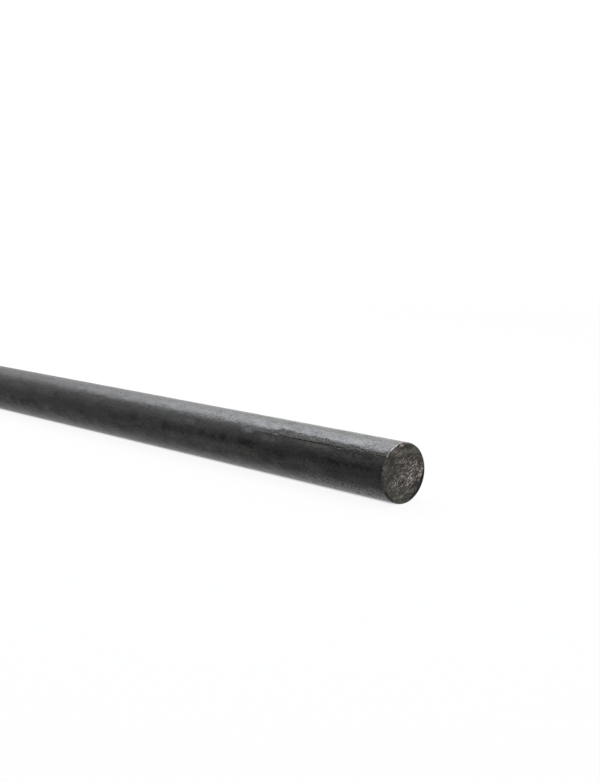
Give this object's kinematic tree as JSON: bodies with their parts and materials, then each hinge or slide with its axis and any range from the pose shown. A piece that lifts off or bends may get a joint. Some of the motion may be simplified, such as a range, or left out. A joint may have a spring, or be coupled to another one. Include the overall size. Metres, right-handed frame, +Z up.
{
  "type": "round metal bar",
  "caption": "Solid round bar of hot-rolled mild steel with black mill scale, both ends sawn square with lightly broken edges; stock for framing, pins and brackets.",
  "frame": {"origin": "on the bar's line of contact with the floor, halfway along its length", "axes": "+X along the bar towards the end that the picture shows, +Y across it, +Z up"},
  "size_m": [0.5, 0.016, 0.016],
  "materials": {
    "hot_rolled_steel": "satin"
  },
  "bodies": {
    "root": {"round_bar": "hot_rolled_steel"}
  },
  "joints": []
}
